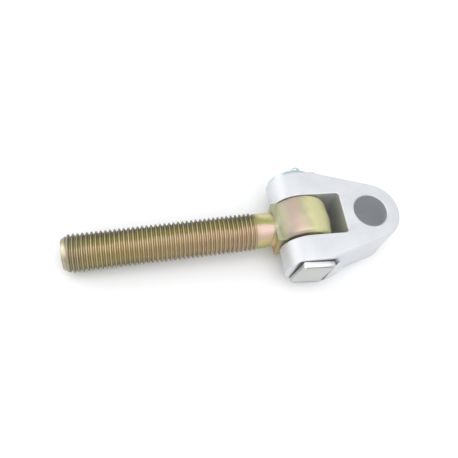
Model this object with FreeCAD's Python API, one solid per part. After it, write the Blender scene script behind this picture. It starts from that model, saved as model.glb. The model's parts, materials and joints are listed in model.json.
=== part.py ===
"""Clevis rod end: a forged fork, a threaded rod with an eye, and the headed pin that hinges them.

Millimetres, +Z up. The part lies on its rod's tip, its eye and its fork's nose, as it comes to rest.
Each piece is drawn about the hinge: the pin's axis is Y, the fork points along +X and the rod along -X.
"""
import FreeCAD, Part
import math
import os

from FreeCAD import Vector

# Fork
fork_thickness = 40.0
slot_width = 35.0
slot_depth = 31.0            # from the hinge to the slot's end wall
slot_corner_radius = 2.5
hinge_width = 84.0           # across the tapered sides, in line with the hinge
nose_distance = 54.5         # from the hinge to the nose bore
nose_bore = 28.0
nose_wall = 11.0
nose_chamfer = 0.8
forging_radius = 2.0         # on the outer edges
boss_diameter = 49.0
boss_width = 82.0            # over the two bosses as forged
boss_blend = 4.0
faced_width = 76.5           # over the faces that are milled for the pin's head and the washer
shoulder_distance = 15.4     # from the hinge to the step that keeps the pin's head from turning
shoulder_lean = 7.0          # degrees between the step and the fork's thickness
shoulder_corner = 1.5

# Rod with its eye
thread_diameter = 30.0
thread_start = 38.0          # from the hinge to where the neck ends
rod_length = 187.0           # from the hinge to the rod's end
rod_tip_diameter = 23.2
rod_chamfer_length = 5.9
neck_diameter = 27.7
eye_diameter = 48.8
eye_side_gap = 1.3           # between the eye and each side of the slot
eye_crown_radius = 80.0      # the eye is a little thicker at its middle, with draft to both sides
eye_rim_radius = 4.0
eye_blend = 4.0
eye_shoulder_distance = 22.8   # from the hinge to the flat that faces the rod
eye_shoulder_height = 26.0
eye_width = slot_width - 2 * eye_side_gap

# Pin with its plate head
pin_diameter = 20.0
pin_end_chamfer = 1.5
pin_end_margin = 1.7         # from the split pin's side to the pin's end
head_width = 26.5
head_height = 31.0
head_thickness = 4.3
head_offset = 1.2            # the plate sits nearer to the shoulder than to the other side
head_corner = 1.5
head_bevel = 1.1

# Washer
washer_diameter = 37.0
washer_thickness = 3.0
washer_bevel = 0.5

# Split pin, a half-round wire that is folded double
split_diameter = 3.7
split_fold_gap = 0.3
split_eye_radius = 2.0       # inside the loop
split_eye_throat = 2.6
split_leg_length = 7.0       # of each leg past the pin
split_bend_radius = 4.0
split_bend = 38.0            # degrees by which each leg is bent out

# Clearances
pin_play = 0.15              # between the pin and its bores, on the diameter
head_gap = 0.3
washer_gap = 0.25
washer_play = 1.0            # on the diameter
split_gap = 0.3
split_play = 0.4             # on the diameter

X = Vector(1, 0, 0)
Y = Vector(0, 1, 0)
Z = Vector(0, 0, 1)
HINGE = Vector(0, 0, 0)


def tilt_to_touch(reach, height, drop):
    """Return the degrees by which a point at `reach` and `height` under the hinge turns down by `drop`."""
    return math.degrees(math.asin(drop / math.hypot(reach, height)) - math.atan2(height, reach))


def turned(shape, degrees):
    """Turn a piece about the pin's axis."""
    piece = shape.copy()
    piece.rotate(HINGE, Y, degrees)
    return piece


def cylinder(diameter, start, direction, length):
    """Return a round bar from `start` along `direction`."""
    return Part.makeCylinder(diameter / 2, length, start, direction)


def across(diameter, width):
    """Return a round bar along the pin's axis, centred on the hinge."""
    return cylinder(diameter, Vector(0, -width / 2, 0), Y, width)


# Fork: the outline
nose_radius = nose_bore / 2 + nose_wall
hinge_half = hinge_width / 2
taper = math.acos(nose_radius / math.hypot(hinge_half, nose_distance)) - math.atan2(nose_distance, hinge_half)


def wall_at(x):
    """Return how far the fork's tapered side stands from its middle plane at `x`."""
    return (nose_radius + (nose_distance - x) * math.sin(taper)) / math.cos(taper)


def fork_plan():
    """Return the fork's plan, taller than the fork: two tapered sides that run into a round nose."""
    half = boss_width / 2
    corner = nose_distance + (nose_radius - half * math.cos(taper)) / math.sin(taper)
    back = -fork_thickness / 2
    tangent = Vector(nose_distance + nose_radius * math.sin(taper), nose_radius * math.cos(taper), 0)
    side = [Vector(back, half, 0), Vector(corner, half, 0), tangent]
    other = [Vector(p.x, -p.y, 0) for p in reversed(side)]
    nose = Part.Arc(tangent, Vector(nose_distance + nose_radius, 0, 0), other[0]).toShape()
    lines = Part.makePolygon(side).Edges + Part.makePolygon(other + side[:1]).Edges
    plan = Part.Face(Part.Wire(lines[:2] + [nose] + lines[2:])).extrude(Z * 2 * fork_thickness)
    plan.translate(-Z * fork_thickness)
    return plan


def fork_side():
    """Return the fork's side view through its full width: parallel faces and a full round at the hinge."""
    top = Z * fork_thickness / 2
    reach = X * (nose_distance + 2 * nose_radius)
    back = Part.Arc(top, -X * fork_thickness / 2, -top).toShape()
    faces = Part.makePolygon([-top, reach - top, reach + top, top])
    side = Part.Face(Part.Wire([back] + faces.Edges)).extrude(Y * 2 * boss_width)
    side.translate(-Y * boss_width)
    return side


def boss():
    """Return the round bosses of both ears as one turned bar, each with a blend down to the tapered side."""
    radius = boss_diameter / 2
    top = boss_width / 2
    foot = wall_at(radius + boss_blend) - boss_blend / 4
    knee = foot + boss_blend
    middle = boss_blend * (1 - math.sqrt(0.5))
    bend = Vector(radius + middle, foot + middle, 0)
    blend = Part.Arc(Vector(radius, knee, 0), bend, Vector(radius + boss_blend, foot, 0)).toShape()
    outer = radius + boss_blend
    rim = [Vector(outer, foot, 0), X * outer, HINGE, Y * top, Vector(radius, top, 0), Vector(radius, knee, 0)]
    half = Part.Face(Part.Wire([blend] + Part.makePolygon(rim).Edges)).revolve(HINGE, Y, 360)
    return half.fuse(half.mirror(HINGE, Y))


def slot():
    """Return the space between the ears."""
    reach = fork_thickness
    space = Part.makeBox(reach + slot_depth, slot_width, 2 * fork_thickness,
                         Vector(-reach, -slot_width / 2, -fork_thickness))
    corners = [e for e in space.Edges
               if abs(e.CenterOfMass.x - slot_depth) < 1e-6 and abs(e.CenterOfMass.z) < 1e-6]
    return space.makeFillet(slot_corner_radius, corners)


def chamfered_bore(diameter, centre, direction, length, chamfer):
    """Return the space of a through bore with a chamfer at each mouth."""
    cut = cylinder(diameter, centre - direction * length, direction, 2 * length)
    for way in (direction, -direction):
        mouth = centre + way * (length / 2 - chamfer)
        cut = cut.fuse(Part.makeCone(diameter / 2, diameter / 2 + 2 * chamfer, 2 * chamfer, mouth, way))
    return cut


def facing(side, reach):
    """Return what the cutter takes off an ear, from beyond the fork's back end to `reach` past the hinge."""
    far = boss_width
    start = Vector(-far, faced_width / 2 if side > 0 else -far, -far)
    cut = Part.makeBox(far + reach, far - faced_width / 2, 2 * far, start)
    if side > 0:
        return cut
    corner = [e for e in cut.Edges if abs(e.CenterOfMass.x - reach) < 1e-6
              and abs(e.CenterOfMass.y + faced_width / 2) < 1e-6]
    return turned(cut.makeFillet(shoulder_corner, corner), shoulder_lean)


def fork():
    """Return the forged fork with its slot, its bores and its milled ears."""
    body = fork_plan().fuse(boss()).common(fork_side())
    forged = [e for e in body.Edges if abs(abs(e.CenterOfMass.z) - fork_thickness / 2) < 1e-6
              and e.CenterOfMass.x > boss_diameter / 2]
    body = body.makeFillet(forging_radius, forged)
    body = body.cut(slot())
    body = body.cut(across(pin_diameter + pin_play, 2 * boss_width))
    body = body.cut(chamfered_bore(nose_bore, Vector(nose_distance, 0, 0), Z, fork_thickness, nose_chamfer))
    body = body.cut(facing(1, boss_width))
    body = body.cut(facing(-1, shoulder_distance))
    return body.removeSplitter()


# Rod: the eye, the neck and the threaded bar
neck_start = math.sqrt((eye_diameter / 2 + eye_blend) ** 2 - (neck_diameter / 2 + eye_blend) ** 2)


def rod_bar():
    """Return the turned bar from the hinge to the rod's end, along -X."""
    neck = neck_diameter / 2
    crest = thread_diameter / 2
    centre = Vector(-neck_start, neck + eye_blend, 0)
    meeting = centre * (eye_diameter / 2 / centre.Length)
    halfway = (meeting - centre) + Vector(0, -eye_blend, 0)
    bend = centre + halfway * (eye_blend / halfway.Length)
    blend = Part.Arc(meeting, bend, Vector(-neck_start, neck, 0)).toShape()
    outline = [Vector(-neck_start, neck, 0), Vector(-thread_start, neck, 0),
               Vector(-thread_start - (crest - neck), crest, 0),
               Vector(-rod_length + rod_chamfer_length, crest, 0),
               Vector(-rod_length, rod_tip_diameter / 2, 0), Vector(-rod_length, 0, 0), HINGE,
               Vector(0, meeting.y, 0), meeting]
    return Part.Face(Part.Wire([blend] + Part.makePolygon(outline).Edges)).revolve(HINGE, X, 360)


def eye():
    """Return the eye without its bore: drafted from its middle to rims that are rounded in short bevels."""
    half = eye_width / 2
    inner = eye_crown_radius - eye_rim_radius
    start = math.asin((half - eye_rim_radius) / inner)
    crown_centre = eye_diameter / 2 - eye_crown_radius
    rim_centre = Vector(crown_centre + inner * math.cos(start), half - eye_rim_radius, 0)
    turns = [start + (math.pi / 2 - start) * share for share in (0, 1 / 3, 2 / 3, 1)]
    rim = [rim_centre + Vector(math.cos(turn), math.sin(turn), 0) * eye_rim_radius for turn in turns]
    outline = [HINGE, X * eye_diameter / 2] + rim + [Y * half, HINGE]
    side = Part.Face(Part.makePolygon(outline)).revolve(HINGE, Y, 360)
    return side.fuse(side.mirror(HINGE, Y))


def eye_rod():
    """Return the rod with its eye and the eye's flat shoulder, forged and threaded as one piece."""
    bar = rod_bar()
    for side in (1, -1):
        start = Vector(-thread_start, eye_width / 2 if side > 0 else -eye_width, -eye_width)
        bar = bar.cut(Part.makeBox(2 * eye_width, eye_width / 2, 2 * eye_width, start))
    corner = Vector(-eye_shoulder_distance, -eye_width / 2, -eye_shoulder_height / 2)
    shoulder = Part.makeBox(eye_shoulder_distance, eye_width, eye_shoulder_height, corner)
    whole = bar.fuse([eye(), shoulder])
    return whole.cut(across(pin_diameter + pin_play, 2 * eye_width)).removeSplitter()


# Pin: its stations along the hinge
head_seat = -faced_width / 2 - head_gap
washer_seat = faced_width / 2 + washer_gap
split_station = washer_seat + washer_thickness + split_gap + split_diameter / 2
pin_end = split_station + split_diameter / 2 + pin_end_margin


def pin():
    """Return the pin with its plate head and the hole for the split pin."""
    corner = Vector(head_offset - head_width / 2, head_seat - head_thickness, -head_height / 2)
    head = Part.makeBox(head_width, head_thickness, head_height, corner)
    inside = head_seat - head_thickness / 2
    head = head.makeFillet(head_corner, [e for e in head.Edges if abs(e.CenterOfMass.y - inside) < 1e-6])
    front = [e for e in head.Edges if abs(e.CenterOfMass.y - corner.y) < 1e-6]
    head = head.makeChamfer(head_bevel, front)
    shank = cylinder(pin_diameter, Vector(0, inside, 0), Y, pin_end - inside)
    rim = [e for e in shank.Edges if abs(e.CenterOfMass.y - pin_end) < 1e-6]
    shank = shank.makeChamfer(pin_end_chamfer, rim)
    hole = cylinder(split_diameter + split_play, Vector(0, split_station, -pin_diameter), Z, 2 * pin_diameter)
    return turned(head.fuse(shank).cut(hole).removeSplitter(), shoulder_lean)


def washer():
    """Return the flat washer between the far ear and the split pin."""
    start = Vector(0, washer_seat, 0)
    disc = cylinder(washer_diameter, start, Y, washer_thickness)
    outer = washer_seat + washer_thickness
    disc = disc.makeChamfer(washer_bevel, [e for e in disc.Edges if abs(e.CenterOfMass.y - outer) < 1e-6])
    return disc.cut(cylinder(pin_diameter + washer_play, start - Y, Y, washer_thickness + 2))


def split_pin():
    """Return the split pin: a half-round wire folded into a loop, with both legs bent out past the pin."""
    wire = split_diameter / 2
    gap = split_fold_gap / 2
    throat_x = -gap - split_eye_throat
    top = pin_diameter / 2
    rise = math.sqrt((split_eye_radius + split_eye_throat) ** 2 - throat_x ** 2)
    loop = Vector(0, 0, top + rise)
    throat = Vector(throat_x, 0, top)
    meeting = throat + (loop - throat) * (split_eye_throat / (split_eye_radius + split_eye_throat))
    middle = (Vector(-gap, 0, top) - throat) + (meeting - throat)
    flare = Part.Arc(Vector(-gap, 0, top), throat + middle * (split_eye_throat / middle.Length), meeting)
    crown = loop + Z * split_eye_radius
    flank = meeting - loop + Vector(0, 0, split_eye_radius)
    side = loop + flank * (split_eye_radius / flank.Length)
    arch = Part.Arc(meeting, side, crown)
    angle = math.radians(split_bend)
    foot = Vector(-gap, 0, -top)
    hub = foot - X * split_bend_radius
    knee = hub + Vector(math.cos(angle), 0, -math.sin(angle)) * split_bend_radius
    half_knee = hub + Vector(math.cos(angle / 2), 0, -math.sin(angle / 2)) * split_bend_radius
    toe = knee - Vector(math.sin(angle), 0, math.cos(angle)) * (split_leg_length - split_bend_radius * angle)
    path = Part.Wire([Part.makeLine(toe, knee), Part.Arc(knee, half_knee, foot).toShape(),
                      Part.makeLine(foot, Vector(-gap, 0, top)), flare.toShape(), arch.toShape()])
    along = (knee - toe).normalize()
    out = Vector(-along.z, 0, along.x)
    edge = Y * wire
    half_round = Part.Arc(toe + edge, toe + out * wire, toe - edge).toShape()
    section = Part.Wire([half_round, Part.makeLine(toe - edge, toe + edge)])
    leg = path.makePipeShell([section], True, False)
    whole = leg.fuse(leg.mirror(HINGE, X)).removeSplitter()
    whole.translate(Y * split_station)
    return turned(whole, shoulder_lean)


# How the part lies: the rod's tip, the eye and the fork's nose touch the same surface
rod_tilt = tilt_to_touch(rod_length - rod_chamfer_length, thread_diameter / 2, eye_diameter / 2)
fork_tilt = tilt_to_touch(nose_distance + nose_radius - forging_radius, fork_thickness / 2 - forging_radius,
                          eye_diameter / 2 - forging_radius)
lean = math.radians(fork_tilt)
nose_centre = Vector(nose_distance * math.cos(lean), 0, -nose_distance * math.sin(lean))

os.makedirs("parts", exist_ok=True)
pieces = {"fork": fork(), "pin": pin(), "washer": washer(), "split_pin": split_pin(), "eye_rod": eye_rod()}
for name, piece in pieces.items():
    piece = turned(piece, -rod_tilt if name == "eye_rod" else fork_tilt)
    piece.translate(-nose_centre)
    piece.exportStep(f"parts/{name}.step")
    box = piece.optimalBoundingBox()
    print(name, piece.ShapeType, len(piece.Solids), piece.isValid(), round(piece.Volume),
          [round(v, 2) for v in (box.XMin, box.XMax, box.YMin, box.YMax, box.ZMin, box.ZMax)])
print("tilts", round(rod_tilt, 3), round(fork_tilt, 3), "nose centre", nose_centre)
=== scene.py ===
# %% [markdown]
# # Clevis rod end
# A forged fork, a threaded rod with an eye, and the pin that hinges them.
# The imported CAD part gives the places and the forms. This script adds what the CAD leaves out: the
# screw thread, the soft edges of a forging and the zinc finishes. All lengths are in metres.

import json
import math

import bmesh
import bpy
from mathutils import Matrix, Vector


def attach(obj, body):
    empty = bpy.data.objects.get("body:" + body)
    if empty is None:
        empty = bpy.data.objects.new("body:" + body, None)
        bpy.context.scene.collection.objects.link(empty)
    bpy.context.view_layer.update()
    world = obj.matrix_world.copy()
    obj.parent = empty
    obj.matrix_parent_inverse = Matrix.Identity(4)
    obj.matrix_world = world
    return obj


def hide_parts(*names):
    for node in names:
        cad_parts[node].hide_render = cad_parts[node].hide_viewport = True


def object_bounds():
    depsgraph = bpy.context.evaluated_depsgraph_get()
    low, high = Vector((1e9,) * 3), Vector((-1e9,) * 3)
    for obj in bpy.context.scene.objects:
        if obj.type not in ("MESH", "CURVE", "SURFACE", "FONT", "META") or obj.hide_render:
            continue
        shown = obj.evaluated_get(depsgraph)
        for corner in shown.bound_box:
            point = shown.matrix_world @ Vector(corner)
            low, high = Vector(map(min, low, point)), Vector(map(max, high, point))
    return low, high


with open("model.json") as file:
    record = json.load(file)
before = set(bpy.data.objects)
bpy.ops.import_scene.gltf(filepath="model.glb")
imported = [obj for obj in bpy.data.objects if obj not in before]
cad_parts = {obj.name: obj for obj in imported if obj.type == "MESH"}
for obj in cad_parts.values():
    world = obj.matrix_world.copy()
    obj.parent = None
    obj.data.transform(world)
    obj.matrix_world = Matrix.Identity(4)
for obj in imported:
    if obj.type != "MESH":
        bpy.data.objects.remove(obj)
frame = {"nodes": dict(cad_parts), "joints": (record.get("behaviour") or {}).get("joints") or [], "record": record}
size_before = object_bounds()
print("pieces:", sorted(frame["nodes"]))

# %% [markdown]
# ## Two frames to work in
# The fork and the rod both hang on the hinge, each with its own tilt, because the part lies on its
# rod's tip, its eye and its nose. Every size is simplest when measured from the hinge along the piece
# itself, so each side gets a frame of its own: X along the piece, Y along the pin.
# Both directions come from the record, so they follow the CAD if its sizes change.

# %% Frames along the fork and along the rod
mounts = {m["name"]: m for m in frame["record"]["mounts"]}
hinge = Vector(frame["joints"][0]["pos_m"])
pin_way = Vector(frame["joints"][0]["axis"]).normalized()


def frame_along(way):
    """Return the matrix of a frame at the hinge with X along `way` and Y along the pin."""
    x = way.normalized()
    z = x.cross(pin_way).normalized()
    return Matrix.Translation(hinge) @ Matrix((x, pin_way, z)).transposed().to_4x4()


fork_frame = frame_along(Vector(mounts["nose_bore"]["pos_m"]) - hinge)
rod_frame = frame_along(Vector(mounts["threaded_shank"]["axis"]))
print("hinge at", [round(c, 4) for c in hinge])

# %% [markdown]
# ## From CAD node to working mesh
# A CAD node arrives as loose triangles whose shading is fixed. A copy is merged into one skin, so that
# a bevel finds joined edges. The copy is turned into the piece's own frame for the work, and back into
# place at the end.


# %% Helpers for working meshes
def working_copy(node, place):
    """Return a merged copy of a CAD node, seen in the frame `place`."""
    bm = bmesh.new()
    bm.from_mesh(frame["nodes"][node].data)
    bmesh.ops.transform(bm, matrix=place.inverted(), verts=bm.verts)
    bmesh.ops.remove_doubles(bm, verts=bm.verts, dist=1e-6)
    return bm


def into_place(bm, name, place, sharp=30):
    """Turn a working mesh into an object, smooth up to `sharp` degrees and placed by its vertices."""
    bmesh.ops.transform(bm, matrix=place, verts=bm.verts)
    bmesh.ops.recalc_face_normals(bm, faces=bm.faces)
    for face in bm.faces:
        face.smooth = True
    for edge in bm.edges:
        edge.smooth = edge.calc_face_angle(0) < math.radians(sharp)
    mesh = bpy.data.meshes.new(name)
    bm.to_mesh(mesh)
    bm.free()
    piece = bpy.data.objects.new(name, mesh)
    bpy.context.scene.collection.objects.link(piece)
    print(name, len(mesh.vertices), "vertices,", len(mesh.polygons), "faces")
    return piece


def even_shading(piece):
    """Let large flat faces keep their own normals beside narrow bevels."""
    weighted = piece.modifiers.new("Even shading", "WEIGHTED_NORMAL")
    weighted.keep_sharp = True
    weighted.weight = 100


# %% [markdown]
# ## The thread
# An M30 coarse thread has a pitch of 3.5 mm and 60 degree flanks. One pitch of its outline, from crest
# to crest, is spun once round the rod while it moves along by one pitch: that is one turn of the
# screw. Copies of this turn, each one pitch further on, make the whole thread without a seam.
# The spin's angle is negative, which makes the thread left-handed. That is a measured guess: in the
# photo the crest lines stay square to the rod across it, and so they did in a render of a left-handed
# thread, while those of a right-handed one drifted along the rod by about a pixel.

# %% One turn of the thread
PITCH = 0.0035
CREST = 0.015
ROOT = CREST - 0.6134 * PITCH
NECK = 0.01385
STEPS = 64
FLANK_START = 0.1 * PITCH
CREST_ROUND = 0.0002
flank_run = math.tan(math.radians(30))
half_turn = [(0, CREST), (0.04 * PITCH, CREST - 0.00002), (0.075 * PITCH, CREST - 0.00009),
             (FLANK_START, CREST - CREST_ROUND)]
half_turn += [(FLANK_START + d * flank_run, CREST - CREST_ROUND - d) for d in (0.0005, 0.001, 0.0015)]
half_turn += [(0.42 * PITCH, ROOT + 0.00006), (0.5 * PITCH, ROOT)]
outline = half_turn + [(PITCH - x, r) for x, r in reversed(half_turn[:-1])]

turn = bmesh.new()
points = [turn.verts.new((x, r, 0)) for x, r in outline]
lines = [turn.edges.new(pair) for pair in zip(points, points[1:])]
bmesh.ops.spin(turn, geom=points + lines, cent=(0, 0, 0), axis=(1, 0, 0), dvec=(PITCH / STEPS, 0, 0),
               angle=-2 * math.pi, steps=STEPS)
bmesh.ops.reverse_faces(turn, faces=turn.faces)
print("one turn:", len(turn.verts), "vertices, depth", round((CREST - ROOT) * 1000, 3), "mm")

# %% Copies of the turn along the rod
FIRST = 0.0355
TIP = 0.187
turns = math.ceil((TIP - FIRST) / PITCH) + 2
one = turn.verts[:] + turn.edges[:] + turn.faces[:]
bmesh.ops.translate(turn, verts=turn.verts, vec=(FIRST - PITCH * 1.5, 0, 0))
for step in range(1, turns):
    copy = bmesh.ops.duplicate(turn, geom=one)["geom"]
    moved = [v for v in copy if isinstance(v, bmesh.types.BMVert)]
    bmesh.ops.translate(turn, verts=moved, vec=(PITCH * step, 0, 0))
bmesh.ops.remove_doubles(turn, verts=turn.verts, dist=2e-6)
print("thread:", turns, "turns,", len(turn.faces), "faces")

# %% [markdown]
# ## Both ends of the thread
# The thread is rolled on a bar as thick as the neck, so near the neck its crests sink and its grooves
# rise until both meet the neck's surface. At the tip a 30 degree chamfer cuts the crests away.
# Both are limits on how far a point may stand from the axis, which is simpler than cutting the
# surface with further bodies.

# %% Run-out and chamfer
RUNOUT = 1.3 * PITCH
PLAIN_START = 0.0008
CHAMFER_START = 0.1811
CHAMFER_SLOPE = math.tan(math.radians(30))
for vert in turn.verts:
    x, y, z = vert.co
    radius = math.hypot(y, z)
    share = min(max((x - FIRST - PLAIN_START) / RUNOUT, 0), 1)
    wanted = NECK + (radius - NECK) * share * share * (3 - 2 * share)
    wanted = min(wanted, CREST - max(0, x - CHAMFER_START) * CHAMFER_SLOPE)
    vert.co = (x, y * wanted / radius, z * wanted / radius)
print("run-out", round(RUNOUT * 1000, 2), "mm, chamfer from", round(CHAMFER_START * 1000, 1), "mm")


# %% Cut to length
def cut(bm, at, keep):
    """Cut a mesh square to its X axis and keep the side that `keep` (1 or -1) points to."""
    parts = bm.verts[:] + bm.edges[:] + bm.faces[:]
    bmesh.ops.bisect_plane(bm, geom=parts, plane_co=(at, 0, 0), plane_no=(-keep, 0, 0),
                           clear_outer=True, dist=1e-7)


cut(turn, FIRST, 1)
cut(turn, TIP, -1)
rim = [e for e in turn.edges if e.is_boundary and min(v.co.x for v in e.verts) > TIP - 1e-5]
bmesh.ops.edgeloop_fill(turn, edges=rim)
print("tip closed with", len(rim), "edges")
thread_mesh = bpy.data.meshes.new("thread")
turn.to_mesh(thread_mesh)
turn.free()

# %% [markdown]
# ## The rod with its eye
# The eye and its neck come from the CAD. Their sharp rims get a small bevel, because a forging that
# has been machined and plated never keeps a knife edge, and that bevel draws the bright lines in the
# photo. The neck is cut off square before the thread begins, and the two loops are bridged.

# %% Eye and neck
NECK_CUT = 0.031
TOO_CLOSE = 0.0001
EYE_RIM = 0.0006
rod = working_copy("eye_rod", rod_frame)
cut(rod, NECK_CUT, -1)
bmesh.ops.remove_doubles(rod, verts=rod.verts, dist=TOO_CLOSE)
rims = [e for e in rod.edges if not e.is_boundary and e.calc_face_angle(0) > math.radians(18)]
bmesh.ops.bevel(rod, geom=rims, offset=EYE_RIM, segments=3, profile=0.5, affect="EDGES",
                clamp_overlap=True, material=-1)
print("eye:", len(rims), "rim edges bevelled")

# %% Join eye and thread
rod.from_mesh(thread_mesh)
seams = [e for e in rod.edges if e.is_boundary]
bmesh.ops.bridge_loops(rod, edges=seams)
faces_before = len(rod.faces)
bmesh.ops.dissolve_degenerate(rod, edges=rod.edges, dist=1e-6)
print("faces gone with edges under a micrometre:", faces_before - len(rod.faces))
rod_piece = into_place(rod, "threaded_eye_rod", rod_frame, sharp=35)
even_shading(rod_piece)
print("open edges bridged:", len(seams))

# %% [markdown]
# ## Fork, pin, washer and split pin
# These keep their CAD form. Only their edges change: a forged edge is round by nearly a millimetre,
# a milled one is merely broken, and the washer and the split pin hardly at all. So the bevel's width
# is chosen edge by edge, from where the edge lies. A width of nothing leaves an edge as it is: at the
# bore's mouth, which the CAD has chamfered, and round the milled step and the boss's blend, where a
# bevel on such short edges made stray creases.


# %% Bevel the sharp edges
def soften(node, name, place, widths, segments=3):
    """Return a CAD node as an object, each sharp edge bevelled by what `widths` says of its middle."""
    bm = working_copy(node, place)
    bmesh.ops.remove_doubles(bm, verts=bm.verts, dist=TOO_CLOSE)
    sharp = {}
    for edge in bm.edges:
        if edge.calc_face_angle(0) > math.radians(40):
            width = widths((edge.verts[0].co + edge.verts[1].co) / 2)
            sharp.setdefault(width, []).append(edge)
    for width, edges in sorted(sharp.items(), reverse=True):
        edges = [e for e in edges if e.is_valid]
        if width > 0:
            bmesh.ops.bevel(bm, geom=edges, offset=width, segments=segments, profile=0.5, affect="EDGES",
                            clamp_overlap=False, material=-1)
        print(name, "bevel", width, "on", len(edges), "edges")
    piece = into_place(bm, name, place, sharp=35)
    even_shading(piece)
    return piece


# %% Widths of the bevels
SLOT_END_RIM = 0.0015
FORGED = 0.0009
MILLED = 0.0003
HEAD_RIM = 0.0011
PIN_REST = 0.0002
HARDWARE = 0.00015
print("bevels from", HARDWARE * 1000, "to", SLOT_END_RIM * 1000, "mm")

# %% Places on the fork and the pin, from the hinge
EAR_SIDE = 0.035
BOSS_FACE = 0.038
BLEND_START = 0.012
NOSE_BORE = 0.0545
BORE_MOUTH = 0.0155
SLOT_END = 0.0305
SLOT_SIDE = 0.0152
TOP_FACE = 0.019
PIN_HOLE = 0.0105
HEAD_FRONT = -0.042


def fork_edge(middle):
    """Return the bevel width of an edge of the fork."""
    step_or_blend = abs(middle.y) > EAR_SIDE and middle.x > BLEND_START
    bore_rim = math.hypot(middle.x - NOSE_BORE, middle.y) < BORE_MOUTH
    if step_or_blend or bore_rim:
        return 0
    if middle.x > SLOT_END and abs(middle.y) < SLOT_SIDE and abs(middle.z) > TOP_FACE:
        return SLOT_END_RIM
    milled = abs(middle.y) > BOSS_FACE or math.hypot(middle.x, middle.z) < PIN_HOLE
    return MILLED if milled else FORGED


def pin_edge(middle):
    """Return the bevel width of an edge of the pin: wide on the head's outer rim."""
    return HEAD_RIM if middle.y < HEAD_FRONT else PIN_REST


# %% Soften the four pieces
fork_piece = soften("fork", "forged_fork", fork_frame, fork_edge)
pin_piece = soften("pin", "plate_head_pin", fork_frame, pin_edge)
washer_piece = soften("washer", "flat_washer", fork_frame, lambda middle: HARDWARE, 2)
split_piece = soften("split_pin", "folded_split_pin", fork_frame, lambda middle: HARDWARE, 2)

# %% [markdown]
# ## Finishes
# Two zinc finishes: a clear one on the fork and pin, and a yellow chromate film on the rod, whose colour drifts
# between gold, pink and green with the film's thickness, with painted highlight and shade laid into the same
# bands. Effects that several materials share are node groups that put out only a value or a colour.


# %% Node helpers
def group(name, inputs, outputs):
    """Return a new node group with its input and output nodes."""
    tree = bpy.data.node_groups.new(name, "ShaderNodeTree")
    for label, kind, value in inputs:
        socket = tree.interface.new_socket(label, in_out="INPUT", socket_type=kind)
        if value is not None:
            socket.default_value = value
    for label, kind in outputs:
        tree.interface.new_socket(label, in_out="OUTPUT", socket_type=kind)
    return tree, tree.nodes.new("NodeGroupInput"), tree.nodes.new("NodeGroupOutput")


def node(tree, kind, links=None, **values):
    """Add a node, set its attributes, and link or set its inputs by name or number."""
    made = tree.nodes.new("ShaderNode" + kind)
    for key, value in values.items():
        setattr(made, key, value)
    for key, value in (links or {}).items():
        if isinstance(value, bpy.types.NodeSocket):
            tree.links.new(value, made.inputs[key])
        else:
            made.inputs[key].default_value = value
    return made


# %% Forged skin: fine grain for roughness and relief
skin, skin_in, skin_out = group(
    "Forged skin",
    [("Place", "NodeSocketVector", None), ("Roughness", "NodeSocketFloat", 0.35),
     ("Spread", "NodeSocketFloat", 0.1)],
    [("Roughness", "NodeSocketFloat"), ("Height", "NodeSocketFloat"), ("Cloud", "NodeSocketFloat")])
skin_place = skin_in.outputs["Place"]
cloud = node(skin, "TexNoise", {"Vector": skin_place, "Scale": 60.0, "Detail": 4.0, "Roughness": 0.6})
grain = node(skin, "TexNoise", {"Vector": skin_place, "Scale": 900.0, "Detail": 3.0})
centred = node(skin, "Math", {0: cloud.outputs[0], 1: 0.5}, operation="SUBTRACT")
spread = node(skin, "Math", operation="MULTIPLY_ADD", links={
    0: centred.outputs[0], 1: skin_in.outputs["Spread"], 2: skin_in.outputs["Roughness"]})
skin.links.new(spread.outputs[0], skin_out.inputs["Roughness"])
skin.links.new(grain.outputs[0], skin_out.inputs["Height"])
skin.links.new(cloud.outputs[0], skin_out.inputs["Cloud"])
print(skin.name, "puts out", [socket.name for socket in skin_out.inputs if socket.name])

# %% Angle round an axis, for colours, painted highlight and shade among them, that change with the way a surface faces
round_axis, round_in, round_out = group(
    "Angle round Y", [("Place", "NodeSocketVector", None)],
    [("Turn", "NodeSocketFloat"), ("Distance", "NodeSocketFloat")])
parts = node(round_axis, "SeparateXYZ", {0: round_in.outputs["Place"]})
angle = node(round_axis, "Math", {0: parts.outputs["Z"], 1: parts.outputs["X"]}, operation="ARCTAN2")
whole = node(round_axis, "MapRange", {0: angle.outputs[0], 1: -math.pi, 2: math.pi})
flat = node(round_axis, "CombineXYZ", {0: parts.outputs["X"], 2: parts.outputs["Z"]})
away = node(round_axis, "VectorMath", {0: flat.outputs[0]}, operation="LENGTH")
round_axis.links.new(whole.outputs[0], round_out.inputs["Turn"])
round_axis.links.new(away.outputs["Value"], round_out.inputs["Distance"])
print(round_axis.name, "puts out", [socket.name for socket in round_out.inputs if socket.name])


# %% Zinc with a clear finish
def new_material(name):
    """Return a material with its tree, its shader and its object coordinates."""
    material = bpy.data.materials.new(name)
    material.use_nodes = True
    tree = material.node_tree
    shader = tree.nodes["Principled BSDF"]
    place = tree.nodes.new("ShaderNodeTexCoord").outputs["Object"]
    return material, tree, shader, place


def use_group(tree, inner, links):
    """Add a node group to a material."""
    made = tree.nodes.new("ShaderNodeGroup")
    made.node_tree = inner
    for key, value in links.items():
        if isinstance(value, bpy.types.NodeSocket):
            tree.links.new(value, made.inputs[key])
        else:
            made.inputs[key].default_value = value
    return made


def relief(tree, height, shader, distance):
    """Turn a height into the shader's normal."""
    bump = node(tree, "Bump", {"Height": height, "Distance": distance, "Strength": 1.0})
    tree.links.new(bump.outputs["Normal"], shader.inputs["Normal"])


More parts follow.
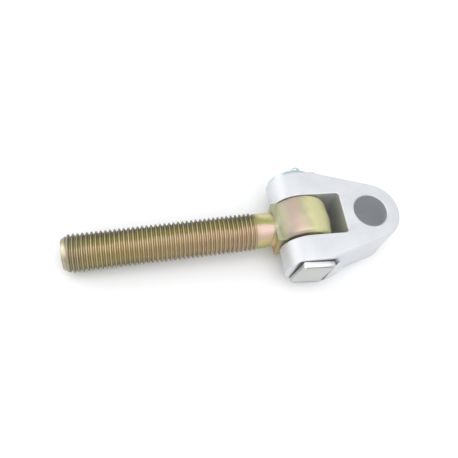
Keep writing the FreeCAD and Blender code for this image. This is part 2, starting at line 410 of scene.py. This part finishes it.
def zinc(name, light, dark, roughness, spread, depth, metallic=1.0):
    """Return a clear zinc finish that drifts between two greys."""
    material, tree, shader, place = new_material(name)
    shader.inputs["Metallic"].default_value = metallic
    skin_node = use_group(tree, skin, {"Place": place, "Roughness": roughness, "Spread": spread})
    drift = node(tree, "ValToRGB", {0: skin_node.outputs["Cloud"]})
    drift.color_ramp.elements[0].position = 0.35
    drift.color_ramp.elements[0].color = (*dark, 1)
    drift.color_ramp.elements[1].position = 0.65
    drift.color_ramp.elements[1].color = (*light, 1)
    tree.links.new(drift.outputs["Color"], shader.inputs["Base Color"])
    tree.links.new(skin_node.outputs["Roughness"], shader.inputs["Roughness"])
    relief(tree, skin_node.outputs["Height"], shader, depth)
    return material


fork_zinc = zinc("Fork zinc", (0.70, 0.71, 0.73), (0.65, 0.66, 0.68), 0.5, 0.15, 0.00003, 0.75)
pin_zinc = zinc("Pin zinc", (0.53, 0.54, 0.52), (0.50, 0.51, 0.49), 0.36, 0.1, 0.00001, 0.5)
hardware_zinc = zinc("Hardware zinc", (0.56, 0.66, 0.68), (0.50, 0.60, 0.62), 0.3, 0.1, 0.00001)
print("clear finishes:", [finish.name for finish in (fork_zinc, pin_zinc, hardware_zinc)])

# %% [markdown]
# ## Yellow chromate on the rod
# The colour follows the way the surface faces: partly the film's own hue, partly painted highlight and shade. On
# the eye the colours run round the hinge; on the neck and thread they run round the rod. The bands were set
# against the photo: what hue a film shows depends on its thickness and on the light, and neither is known.


# %% Colour bands
def ramp(tree, value, stops):
    """Return the colour output of a ramp with (position, colour) stops."""
    made = node(tree, "ValToRGB", {0: value})
    elements = made.color_ramp.elements
    while len(elements) > 1:
        elements.remove(elements[-1])
    elements[0].position = stops[0][0]
    elements[0].color = (*stops[0][1], 1)
    for position, colour in stops[1:]:
        elements.new(position).color = (*colour, 1)
    return made.outputs["Color"]


def mixed(tree, factor, first, second):
    """Return the mix of two colours."""
    made = tree.nodes.new("ShaderNodeMix")
    made.data_type = "RGBA"
    for key, value in ((0, factor), (6, first), (7, second)):
        if isinstance(value, bpy.types.NodeSocket):
            tree.links.new(value, made.inputs[key])
        else:
            made.inputs[key].default_value = value if key == 0 else (*value, 1)
    return made.outputs[2]


def seen_from(tree, place, matrix):
    """Return object coordinates seen in another frame."""
    centred = node(tree, "Mapping", {0: place, 1: tuple(-matrix.translation)})
    inverse = matrix.to_3x3().inverted().to_euler()
    return node(tree, "Mapping", {0: centred.outputs[0], 2: tuple(inverse)}).outputs[0]


# %% Two ways round and two distances
rod_yellow, tree, shader, place = new_material("Rod yellow zinc")
shader.inputs["Metallic"].default_value = 0.8
along_rod = seen_from(tree, place, rod_frame)
upright = node(tree, "Mapping", {0: along_rod, 2: (0, 0, math.pi / 2)}).outputs[0]
eye_round = use_group(tree, round_axis, {"Place": along_rod})
rod_round = use_group(tree, round_axis, {"Place": upright})
from_hinge = eye_round.outputs["Distance"]
from_rod_axis = rod_round.outputs["Distance"]
skin_node = use_group(tree, skin, {"Place": place, "Roughness": 0.45, "Spread": 0.12})
wobble = node(tree, "Math", {0: skin_node.outputs["Cloud"], 1: 0.10, 2: -0.05}, operation="MULTIPLY_ADD")
eye_turn = node(tree, "Math", {0: eye_round.outputs["Turn"], 1: wobble.outputs[0]}, operation="ADD")
rod_turn = node(tree, "Math", {0: rod_round.outputs["Turn"], 1: wobble.outputs[0]}, operation="ADD")
print("rod frame turned by", [round(math.degrees(a), 2) for a in rod_frame.to_euler()], "degrees")


def between(tree, value, start, end, top=1.0):
    """Return a mask that rises from 0 to `top` as `value` goes from `start` to `end`."""
    return node(tree, "MapRange", {0: value, 1: start, 2: end, 3: 0.0, 4: top}).outputs[0]


# %% Bands on the eye and the neck
GREEN = (0.38, 0.38, 0.25)
PALE = (0.66, 0.64, 0.36)
PINK = (0.57, 0.41, 0.36)
GOLD = (0.58, 0.45, 0.25)
OLIVE = (0.37, 0.36, 0.14)
# Partly the film's own hues and partly painted light: the bright stop at 0.1 is a painted highlight on the eye's
# side next to the slot's end wall.
eye_hues_and_painted_light = ramp(tree, eye_turn.outputs[0], [
    (0.03, OLIVE), (0.1, (0.82, 0.79, 0.48)), (0.15, PALE), (0.21, PALE), (0.25, (0.50, 0.44, 0.30)),
    (0.29, (0.52, 0.40, 0.33)), (0.335, (0.41, 0.35, 0.28)), (0.378, GREEN), (0.43, GREEN), (0.47, GOLD),
    (0.9, OLIVE)])
# Partly the film's own hues and partly painted light: the sharp step from olive to pink between 0.262 and 0.277 is
# the edge of a painted highlight.
neck_hues_and_painted_light = ramp(tree, rod_turn.outputs[0], [
    (0.1, GOLD), (0.17, PALE), (0.226, OLIVE), (0.262, OLIVE), (0.277, PINK), (0.36, PINK), (0.42, GOLD),
    (0.5, OLIVE), (0.9, GREEN)])
print("stops:", len(eye_hues_and_painted_light.node.color_ramp.elements), "on the eye,",
      len(neck_hues_and_painted_light.node.color_ramp.elements), "on the neck")

# %% [markdown]
# ## The film and painted light on the thread
# The flanks are darker than the crests, with painted shade on the flanks and a painted highlight on the crests'
# lit side, so the distance from the rod's axis picks between the two. The lit side turns pinkish toward the neck
# and greyer toward the tip, whose chamfer has one painted highlight.

# %% Bands on the flanks and the crests
BRONZE = (0.42, 0.33, 0.16)
# Painted shade on the flanks, darkest on the far side, with a lighter band on the lit side.
flank_hues_and_painted_light = ramp(tree, rod_turn.outputs[0], [
    (0.17, (0.20, 0.18, 0.12)), (0.21, (0.31, 0.28, 0.11)), (0.255, (0.37, 0.31, 0.13)),
    (0.29, (0.50, 0.40, 0.24)), (0.36, BRONZE), (0.45, (0.40, 0.34, 0.18)), (0.52, (0.26, 0.23, 0.13))])
# Painted highlight on the crests' lit side and painted shade on their far side.
crest_hues_and_painted_light = ramp(tree, rod_turn.outputs[0], [
    (0.16, (0.22, 0.20, 0.15)), (0.22, (0.50, 0.45, 0.27)), (0.29, (0.74, 0.66, 0.46)),
    (0.4, (0.55, 0.47, 0.28)), (0.5, (0.32, 0.29, 0.18))])
crest = between(tree, from_rod_axis, 0.0144, 0.0149, 0.7)
thread_colour = mixed(tree, crest, flank_hues_and_painted_light, crest_hues_and_painted_light)
print("stops:", len(flank_hues_and_painted_light.node.color_ramp.elements), "on the flanks,",
      len(crest_hues_and_painted_light.node.color_ramp.elements), "on the crests")

# %% From the neck to the tip
near_neck = between(tree, from_hinge, 0.14, 0.05, 0.35)
lit_side = between(tree, rod_turn.outputs[0], 0.255, 0.29)
pinkish = node(tree, "Math", {0: near_neck, 1: lit_side}, operation="MULTIPLY")
thread_colour = mixed(tree, pinkish.outputs[0], thread_colour, PINK)
near_tip = between(tree, from_hinge, 0.166, 0.182, 0.5)
thread_colour = mixed(tree, near_tip, thread_colour, (0.28, 0.26, 0.22))
print("along the thread:", len(tree.nodes), "nodes so far")

# %% Chamfer and end face
BARE = (0.42, 0.39, 0.29)
PAINTED_CHAMFER_HIGHLIGHT = (0.82, 0.80, 0.60)
# The pale band in this ramp is a painted highlight on the chamfer's lit side.
chamfer_colour = ramp(tree, rod_turn.outputs[0], [
    (0.2, BARE), (0.26, PAINTED_CHAMFER_HIGHLIGHT), (0.31, PAINTED_CHAMFER_HIGHLIGHT), (0.36, BARE), (0.9, BARE)])
at_chamfer = between(tree, from_hinge, 0.1825, 0.1845, 0.7)
thread_colour = mixed(tree, at_chamfer, thread_colour, chamfer_colour)
end_face = between(tree, from_rod_axis, 0.0122, 0.0112)
thread_colour = mixed(tree, end_face, thread_colour, BARE)
print("with the tip:", len(tree.nodes), "nodes so far")

# %% [markdown]
# ## The film and its painted light put together
# The distance from the hinge says where the eye ends, where the neck meets the flat shoulder and where the thread
# starts. At the shoulder a thin brown line is painted shade in the concave fillet. A ramp's positions run from 0
# to 1, so the distance is multiplied by ten before the ramp that draws it.

# %% Eye, painted fillet shade, neck and thread in one colour
film_with_painted_light = mixed(tree, between(tree, from_hinge, 0.0262, 0.0275), eye_hues_and_painted_light, neck_hues_and_painted_light)
tenfold = node(tree, "Math", {0: from_hinge, 1: 10.0}, operation="MULTIPLY")
# A thin brown band of painted shade in the concave fillet where the neck meets the shoulder.
painted_fillet_shade = ramp(tree, tenfold.outputs[0], [(0.262, (0, 0, 0)), (0.268, (0.6, 0.6, 0.6)), (0.276, (0, 0, 0))])
film_with_painted_light = mixed(tree, painted_fillet_shade, film_with_painted_light, (0.35, 0.22, 0.10))
colour = mixed(tree, between(tree, from_hinge, FIRST, FIRST + RUNOUT), film_with_painted_light, thread_colour)
tree.links.new(colour, shader.inputs["Base Color"])
tree.links.new(skin_node.outputs["Roughness"], shader.inputs["Roughness"])
relief(tree, skin_node.outputs["Height"], shader, 0.00001)
print(rod_yellow.name, "has", len(tree.nodes), "nodes")

# %% [markdown]
# ## Dress the pieces
# Each piece rides the body it belongs to, stands in for its CAD node and takes its material.

# %% Dress the pieces
for piece, body, node_name, slot_name, material in (
        (fork_piece, "fork", "fork", "fork_zinc", fork_zinc),
        (pin_piece, "fork", "pin", "pin_zinc", pin_zinc),
        (washer_piece, "fork", "washer", "hardware_zinc", hardware_zinc),
        (split_piece, "fork", "split_pin", "hardware_zinc", hardware_zinc),
        (rod_piece, "rod", "eye_rod", "rod_yellow_zinc", rod_yellow)):
    piece.data.materials.append(material)
    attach(piece, body)
    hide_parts(node_name)
    print(piece.name, "rides", body, "and stands for", node_name)

# %% [markdown]
# ## Round the pin's head
# The plate's upper rim gets a painted highlight, and a dark line of painted shade follows the plate's outline in
# the gap. The photo doesn't say why: rubbed metal and dirt in the gap are a guess. Both are colour masks on the
# place in the fork's frame. The rim is what lies behind the plate's front face, at its upper and lower ends. The
# gap is what lies on the ear's milled face, just outside the plate's outline.

# %% Laying one colour over another
def over(material, share, colour):
    """Lay a colour over a material's own colour by a mask."""
    base = material.node_tree.nodes["Principled BSDF"].inputs["Base Color"]
    laid = mixed(material.node_tree, share, base.links[0].from_socket, colour)
    material.node_tree.links.new(laid, base)


def fork_place(tree):
    """Return object coordinates in the fork's frame."""
    return seen_from(tree, tree.nodes["Texture Coordinate"].outputs["Object"], fork_frame)


# %% Painted highlight on the rim
HEAD_FACE = -0.04285
tree = pin_zinc.node_tree
depth = node(tree, "SeparateXYZ", {0: fork_place(tree)})
rim = between(tree, depth.outputs["Y"], HEAD_FACE + 0.0001, HEAD_FACE + 0.0004, 0.95)
height = node(tree, "Math", {0: depth.outputs["Z"]}, operation="ABSOLUTE")
ends = between(tree, height.outputs[0], 0.0136, 0.0144)
painted_rim_highlight = node(tree, "Math", {0: rim, 1: ends}, operation="MULTIPLY")
# The near-white colour laid here is a painted highlight on the plate's rim.
over(pin_zinc, painted_rim_highlight.outputs[0], (0.95, 0.96, 0.97))
print("bright rim laid on", pin_zinc.name)

# %% Painted shade in the gap
GAP_FLOOR = -0.0382
HEAD_MIDDLE = (0.0012, 0, 0)
HEAD_HALF = (0.01325, 0, 0.0155)
tree = fork_zinc.node_tree
spot = fork_place(tree)
depth = node(tree, "SeparateXYZ", {0: spot})
aside = node(tree, "VectorMath", {0: spot, 1: HEAD_MIDDLE}, operation="SUBTRACT")
aside = node(tree, "VectorMath", {0: aside.outputs[0]}, operation="ABSOLUTE")
aside = node(tree, "VectorMath", {0: aside.outputs[0], 1: HEAD_HALF}, operation="SUBTRACT")
beyond = node(tree, "SeparateXYZ", {0: aside.outputs[0]})
outside = node(tree, "Math", {0: beyond.outputs["X"], 1: beyond.outputs["Z"]}, operation="MAXIMUM")
near = between(tree, outside.outputs[0], 0.003, 0.0008)
low = between(tree, depth.outputs["Y"], GAP_FLOOR + 0.0007, GAP_FLOOR + 0.0002, 0.9)
painted_gap_shade = node(tree, "Math", {0: near, 1: low}, operation="MULTIPLY")
# The near-black colour laid here is painted shade in the narrow gap round the plate.
over(fork_zinc, painted_gap_shade.outputs[0], (0.05, 0.055, 0.06))
print("dark line laid on", fork_zinc.name)

# %% [markdown]
# ## Floor, light and camera
# The photo is a product shot on white with hardly any shadow: a pale floor, an even white surround,
# a large soft box above and a weaker one beyond the rod's tip. The camera's place comes from a fit to the
# photo's outlines.

# %% Floor
FLOOR_HALF = 3
floor_mesh = bpy.data.meshes.new("floor")
floor_bm = bmesh.new()
bmesh.ops.create_grid(floor_bm, x_segments=1, y_segments=1, size=FLOOR_HALF)
bmesh.ops.translate(floor_bm, verts=floor_bm.verts, vec=(0, 0, size_before[0].z))
floor_bm.to_mesh(floor_mesh)
floor_bm.free()
floor = bpy.data.objects.new("floor", floor_mesh)
bpy.context.scene.collection.objects.link(floor)
floor_material, _, floor_shader, _ = new_material("Pale floor")
floor_shader.inputs["Base Color"].default_value = (0.88, 0.88, 0.88, 1)
floor_shader.inputs["Roughness"].default_value = 0.8
floor.data.materials.append(floor_material)
print("floor at", round(size_before[0].z, 5))


# %% Lights
def soft_box(name, place, aim, size, power):
    """Add a square area light at `place` that faces `aim`."""
    lamp = bpy.data.lights.new(name, "AREA")
    lamp.shape = "SQUARE"
    lamp.size = size
    lamp.energy = power
    holder = bpy.data.objects.new(name, lamp)
    holder.location = place
    holder.rotation_mode = "QUATERNION"
    holder.rotation_quaternion = (Vector(place) - Vector(aim)).to_track_quat("Z", "Y")
    bpy.context.scene.collection.objects.link(holder)


centre = (-0.1, 0, 0)
soft_box("top box", (-0.1, -0.3, 1.0), centre, 1.15, 5.5)
soft_box("left box", (-1.0, 0.5, 0.45), centre, 0.8, 2.2)
world = bpy.data.worlds.new("White surround")
bpy.context.scene.world = world
world.use_nodes = True
surround = world.node_tree.nodes["Background"]
surround.inputs["Color"].default_value = (0.97, 0.98, 1.0, 1)
surround.inputs["Strength"].default_value = 0.95
bpy.context.scene.view_settings.view_transform = "Standard"

# %% Camera
camera = bpy.data.cameras.new("camera")
camera.sensor_width = 36
camera.lens = 48.865
eye = bpy.data.objects.new("camera", camera)
bpy.context.scene.collection.objects.link(eye)
eye.location = (-0.208748, -0.207426, 0.435673)
azimuth = math.radians(-24.6294)
elevation = math.radians(61.7956)
level = math.cos(elevation)
back = Vector((math.sin(azimuth) * level, -math.cos(azimuth) * level, math.sin(elevation)))
roll = Matrix.Rotation(math.radians(16.5443), 4, "Z")
eye.rotation_mode = "QUATERNION"
eye.rotation_quaternion = (back.to_track_quat("Z", "Y").to_matrix().to_4x4() @ roll).to_quaternion()
camera.clip_start = 0.01
bpy.context.scene.camera = eye
print("camera", round((eye.location - hinge).length, 3), "m from the hinge")

# %% [markdown]
# ## Sizes and finish
# The box of the CAD parts, taken before the pieces were made, is printed.

# %% Sizes and finish
print("box before", [tuple(round(v, 4) for v in c) for c in size_before])
